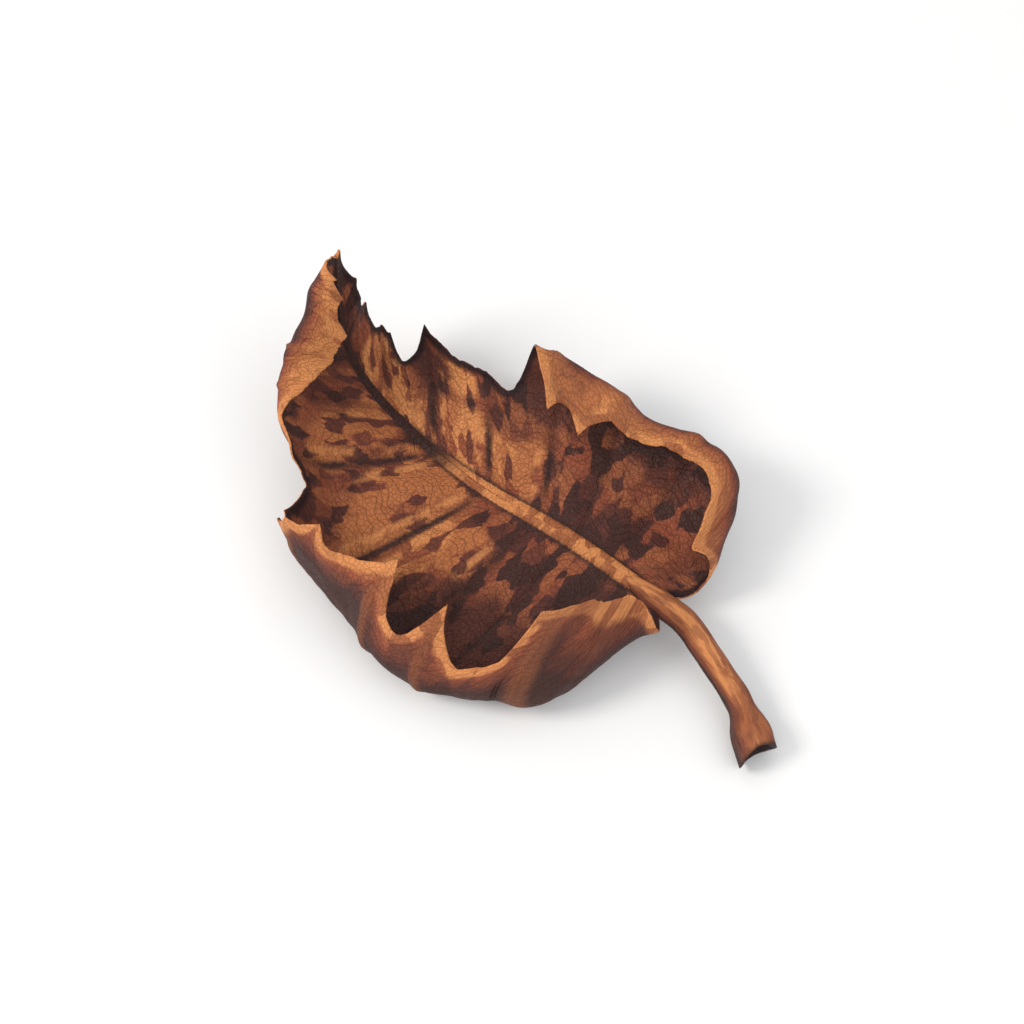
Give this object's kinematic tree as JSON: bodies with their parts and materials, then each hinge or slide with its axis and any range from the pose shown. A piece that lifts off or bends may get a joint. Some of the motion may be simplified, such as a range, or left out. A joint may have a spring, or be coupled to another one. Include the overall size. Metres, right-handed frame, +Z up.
{
  "type": "dry autumn leaf",
  "caption": "Dry brown autumn leaf lying on its back, curled up into a shallow bowl, with pointed teeth, rolled edges, raised veins and a stalk with a swollen end.",
  "frame": {"origin": "middle of the footprint of the leaf's bounding box, on the ground it lies on", "axes": "+Y from the stalk's end to the leaf's tip, +Z up, +X towards the half whose edge is rolled over in one wide flap"},
  "size_m": [0.1036, 0.168, 0.062],
  "materials": {
    "leaf": "matte"
  },
  "bodies": {
    "root": {"leaf": "leaf"}
  },
  "joints": []
}
